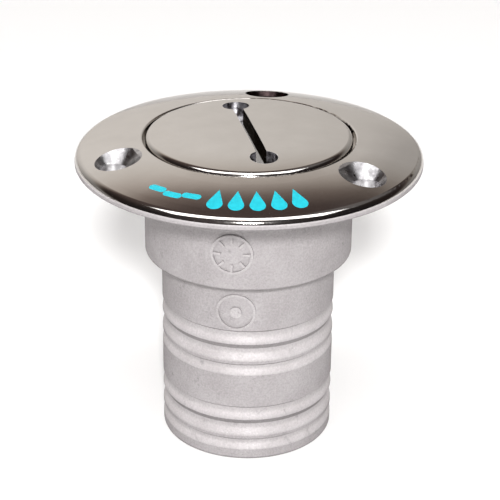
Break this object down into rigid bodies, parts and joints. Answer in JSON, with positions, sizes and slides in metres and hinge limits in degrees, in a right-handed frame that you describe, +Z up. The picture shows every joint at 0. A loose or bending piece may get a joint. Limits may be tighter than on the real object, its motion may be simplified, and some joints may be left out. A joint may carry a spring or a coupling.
{
  "type": "deck fill cap",
  "caption": "Flush deck fill with a domed round flange, screw-in cap with a pin-key recess, ridged hose tail, and a retaining chain with a cross bar.",
  "frame": {"origin": "on the fill axis, in the plane of the flange's underside, where it meets the deck", "axes": "+Z up out of the deck along the fill axis, -Y towards the enamel marks, +X to their right"},
  "size_m": [0.0764, 0.0764, 0.0725],
  "materials": {
    "cast_steel": "mirror-polished flange, fine matt cast tail",
    "polished_steel": "mirror-polished",
    "small_steel": "bright drawn",
    "seal_rubber": "matt black",
    "blue_enamel": "gloss enamel filling"
  },
  "bodies": {
    "deck_body": {"deck_body": "cast_steel", "enamel_dash_1": "blue_enamel", "enamel_dash_2": "blue_enamel", "enamel_dash_3": "blue_enamel", "enamel_drop_1": "blue_enamel", "enamel_drop_2": "blue_enamel", "enamel_drop_3": "blue_enamel", "enamel_drop_4": "blue_enamel", "enamel_drop_5": "blue_enamel"},
    "swivel": {"swivel": "small_steel"},
    "cap": {"cap": "polished_steel", "cap_seal": "seal_rubber", "swivel_stud": "small_steel"},
    "chain": {"chain_link_1": "small_steel", "chain_link_2": "small_steel", "chain_link_3": "small_steel", "chain_link_4": "small_steel", "chain_link_5": "small_steel", "chain_link_6": "small_steel", "chain_link_7": "small_steel", "retaining_bar": "small_steel"}
  },
  "joints": [
    {"name": "cap_rise", "type": "slide", "parent": "deck_body", "child": "swivel", "axis": [0, 0, 1], "range_m": [0, 0.0141]},
    {"name": "cap_turn", "type": "hinge", "parent": "swivel", "child": "cap", "pos_m": [0, 0, 0], "axis": [0, 0, 1], "range_deg": [0, 2520]},
    {"name": "chain_swing", "type": "hinge", "parent": "swivel", "child": "chain", "pos_m": [0, 0, -0.0082], "axis": [1, 0, 0], "range_deg": [-5, 5]}
  ],
  "couplings": [
    {"joint": "cap_rise", "follows": "cap_turn", "m_per_rad": 0.00031831}
  ]
}
